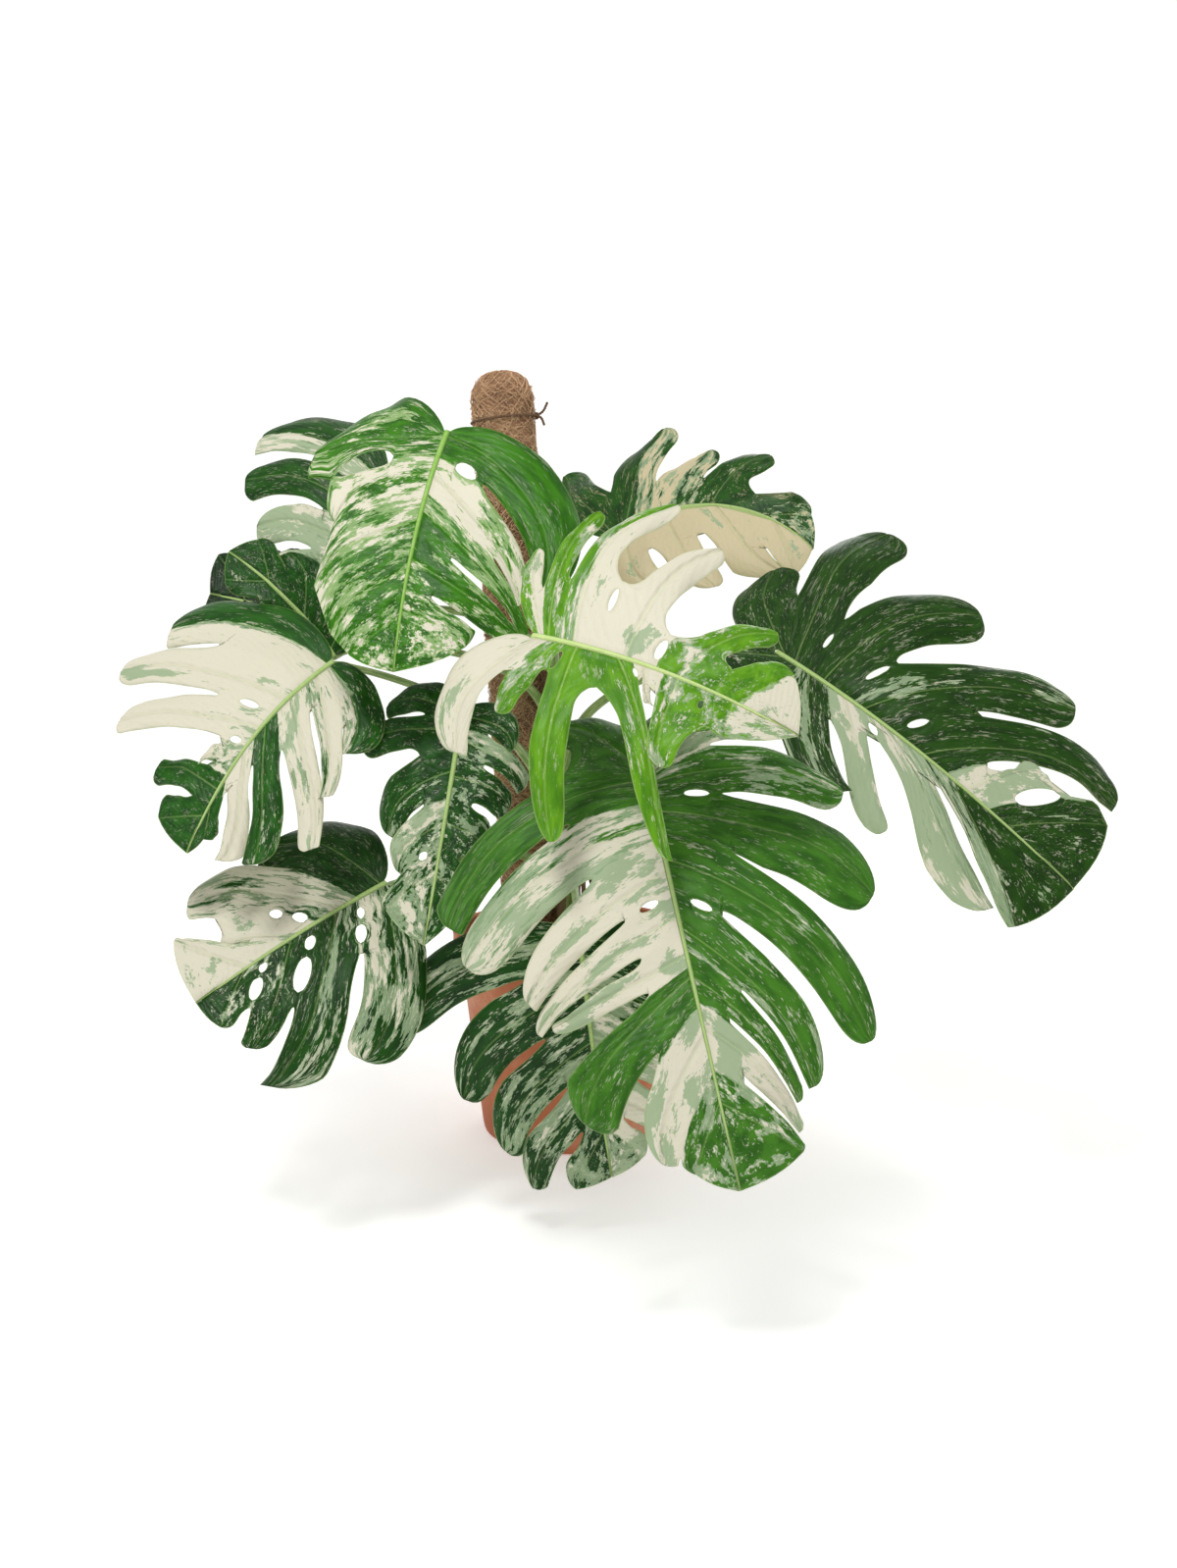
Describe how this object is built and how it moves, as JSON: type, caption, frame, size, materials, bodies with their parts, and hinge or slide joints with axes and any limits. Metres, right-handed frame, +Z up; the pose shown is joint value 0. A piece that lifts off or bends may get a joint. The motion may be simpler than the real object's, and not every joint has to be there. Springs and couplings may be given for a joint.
{
  "type": "potted monstera plant",
  "caption": "Variegated split-leaf monstera climbing a coir pole in a plain round clay pot, its large cream and green leaves spreading on long stalks.",
  "frame": {"origin": "centre of the pot's underside, on the floor", "axes": "+Z up, +X to the viewer's right across the widest spread of leaves, +Y away from the viewer; the leaves face -Y"},
  "size_m": [1.1186, 0.8519, 0.964],
  "materials": {
    "pot_clay": "plain fired clay, matt, with a faint mineral bloom",
    "potting_soil": "dark crumbly potting mix of bark, peat and pale grit",
    "stake_wood": "plain round wooden stake",
    "coir_fibre": "brown coconut fibre, matted, with loose ends",
    "vine_bark": "green to brown vine with leaf scars",
    "root_bark": "brown corky aerial root",
    "twine": "thin brown twine",
    "top_blade": "fresh green marbled with cream, satin",
    "centre_blade": "young yellow-green with cream sectors, glossy",
    "front_blade": "dark green and cream in broad bands, satin gloss",
    "right_blade": "deep green with fine pale flecks, satin gloss",
    "left_blade": "mostly cream with green streaks, satin",
    "low_left_blade": "dark green marbled with grey-white, satin",
    "mid_left_blade": "mid green with flecks, satin",
    "back_left_blade": "green with a grey-white lower band, satin",
    "small_left_blade": "green with pale flecks, satin",
    "shade_blade": "plain dark green, satin",
    "top_right_blade": "cream underside tones with green marbling, satin",
    "bottom_blade": "dark green flecked with grey-white, satin",
    "petiole_skin": "smooth green leaf stalk with paler flecks, satin"
  },
  "bodies": {
    "root": {"pot": "pot_clay", "soil": "potting_soil", "pole_stake": "stake_wood", "coir_wrap": "coir_fibre", "main_stem": "vine_bark", "aerial_root_1": "root_bark", "aerial_root_2": "root_bark", "aerial_root_3": "root_bark", "tie_top": "twine", "tie_upper": "twine", "tie_lower": "twine", "top_leaf": "top_blade", "top_petiole": "petiole_skin", "centre_leaf": "centre_blade", "centre_petiole": "petiole_skin", "front_leaf": "front_blade", "front_petiole": "petiole_skin", "right_leaf": "right_blade", "right_petiole": "petiole_skin", "left_leaf": "left_blade", "left_petiole": "petiole_skin", "low_left_leaf": "low_left_blade", "low_left_petiole": "petiole_skin", "mid_left_leaf": "mid_left_blade", "mid_left_petiole": "petiole_skin", "back_left_leaf": "back_left_blade", "back_left_petiole": "petiole_skin", "small_left_leaf": "small_left_blade", "small_left_petiole": "petiole_skin", "shade_leaf": "shade_blade", "shade_petiole": "petiole_skin", "top_right_leaf": "top_right_blade", "top_right_petiole": "petiole_skin", "bottom_leaf": "bottom_blade", "bottom_petiole": "petiole_skin"}
  },
  "joints": []
}
